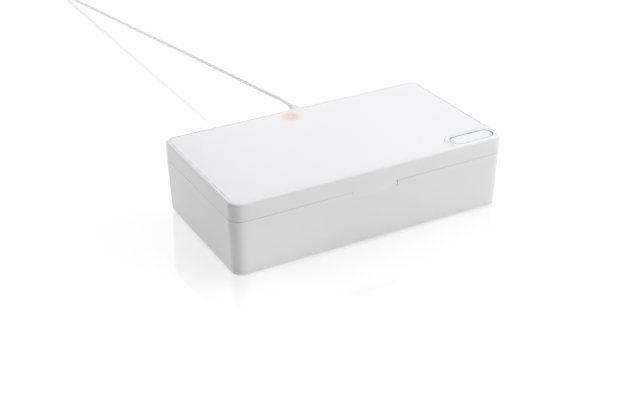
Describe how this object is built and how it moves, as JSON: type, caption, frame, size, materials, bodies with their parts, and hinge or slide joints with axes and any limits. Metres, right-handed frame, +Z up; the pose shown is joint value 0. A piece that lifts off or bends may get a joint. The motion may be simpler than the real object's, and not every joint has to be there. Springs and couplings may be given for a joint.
{
  "type": "uv sanitizer box",
  "caption": "Low white box for sanitizing a phone with ultraviolet light: hinged lid with an inset charging pad and a long push button, lamps inside, charging lead behind.",
  "frame": {"origin": "on the table, under the middle of the box (feet included, charging lead left out)", "axes": "+X along the length to the right as seen from the front, +Y to the rear where the hinge and lead are, +Z up"},
  "size_m": [0.22, 0.6943, 0.056],
  "materials": {
    "shell_white": "fine satin moulding",
    "pad_white": "smooth satin, faintly cool white",
    "button_white": "polished, faintly blue white",
    "bezel_white": "polished moulding",
    "liner_silver": "vacuum metallised reflector",
    "cover_white": "polished white moulding",
    "seal_grey": "soft silicone",
    "foot_rubber": "matt rubber",
    "screw_steel": "zinc plated",
    "pin_steel": "ground",
    "magnet_nickel": "nickel plated",
    "board_white": "white solder mask",
    "board_green": "green solder mask",
    "lamp_package": "lamp package",
    "window_quartz": "polished quartz",
    "coil_copper": "enamelled copper wire",
    "ferrite_dark": "sintered ferrite",
    "pipe_amber": "clear light pipe",
    "switch_black": "moulded switch",
    "wire_red": "wire insulation",
    "cable_white": "smooth cable jacket",
    "plug_white": "satin overmould",
    "plug_steel": "bright nickel",
    "insert_white": "moulded insert",
    "tie_white": "soft strap"
  },
  "bodies": {
    "base": {"base_shell": "shell_white", "chamber_liner": "liner_silver", "light_seal": "seal_grey", "foot_front_left": "foot_rubber", "foot_front_right": "foot_rubber", "foot_rear_left": "foot_rubber", "foot_rear_right": "foot_rubber", "base_screws": "screw_steel", "hinge_pin_left": "pin_steel", "hinge_pin_right": "pin_steel", "base_harness": "wire_red", "base_magnets": "magnet_nickel", "lower_lamp_board": "board_white", "lower_uv_lamps": "lamp_package", "lower_lamp_windows": "window_quartz", "power_board": "board_green", "usb_c_socket": "plug_steel", "usb_c_plug": "plug_steel", "usb_c_overmould": "plug_white", "cable_lead": "cable_white", "cable_coil": "cable_white", "cable_tie": "tie_white", "cable_tail": "cable_white", "usb_a_overmould": "plug_white", "usb_a_shell": "plug_steel", "usb_a_insert": "insert_white"},
    "lid": {"lid_frame": "shell_white", "charging_pad": "pad_white", "button_bezel": "bezel_white", "inner_cover": "cover_white", "cover_screws": "screw_steel", "upper_lamp_board": "board_white", "upper_uv_lamps": "lamp_package", "upper_lamp_windows": "window_quartz", "main_board": "board_green", "button_switch": "switch_black", "lid_sensor": "switch_black", "lid_magnets": "magnet_nickel", "charging_coil": "coil_copper", "ferrite_plate": "ferrite_dark", "light_pipe": "pipe_amber", "status_led": "board_white", "lid_harness": "wire_red"},
    "button": {"button": "button_white", "switch_plunger": "switch_black"}
  },
  "joints": [
    {"name": "lid_hinge", "type": "hinge", "parent": "base", "child": "lid", "pos_m": [0, 0.055, 0.0491], "axis": [-1, 0, 0], "range_deg": [0, 100]},
    {"name": "button_press", "type": "slide", "parent": "lid", "child": "button", "axis": [0, 0, -1], "range_m": [0, 0.0008], "stiffness_N_per_m": 500, "springref_m": -0.001}
  ]
}
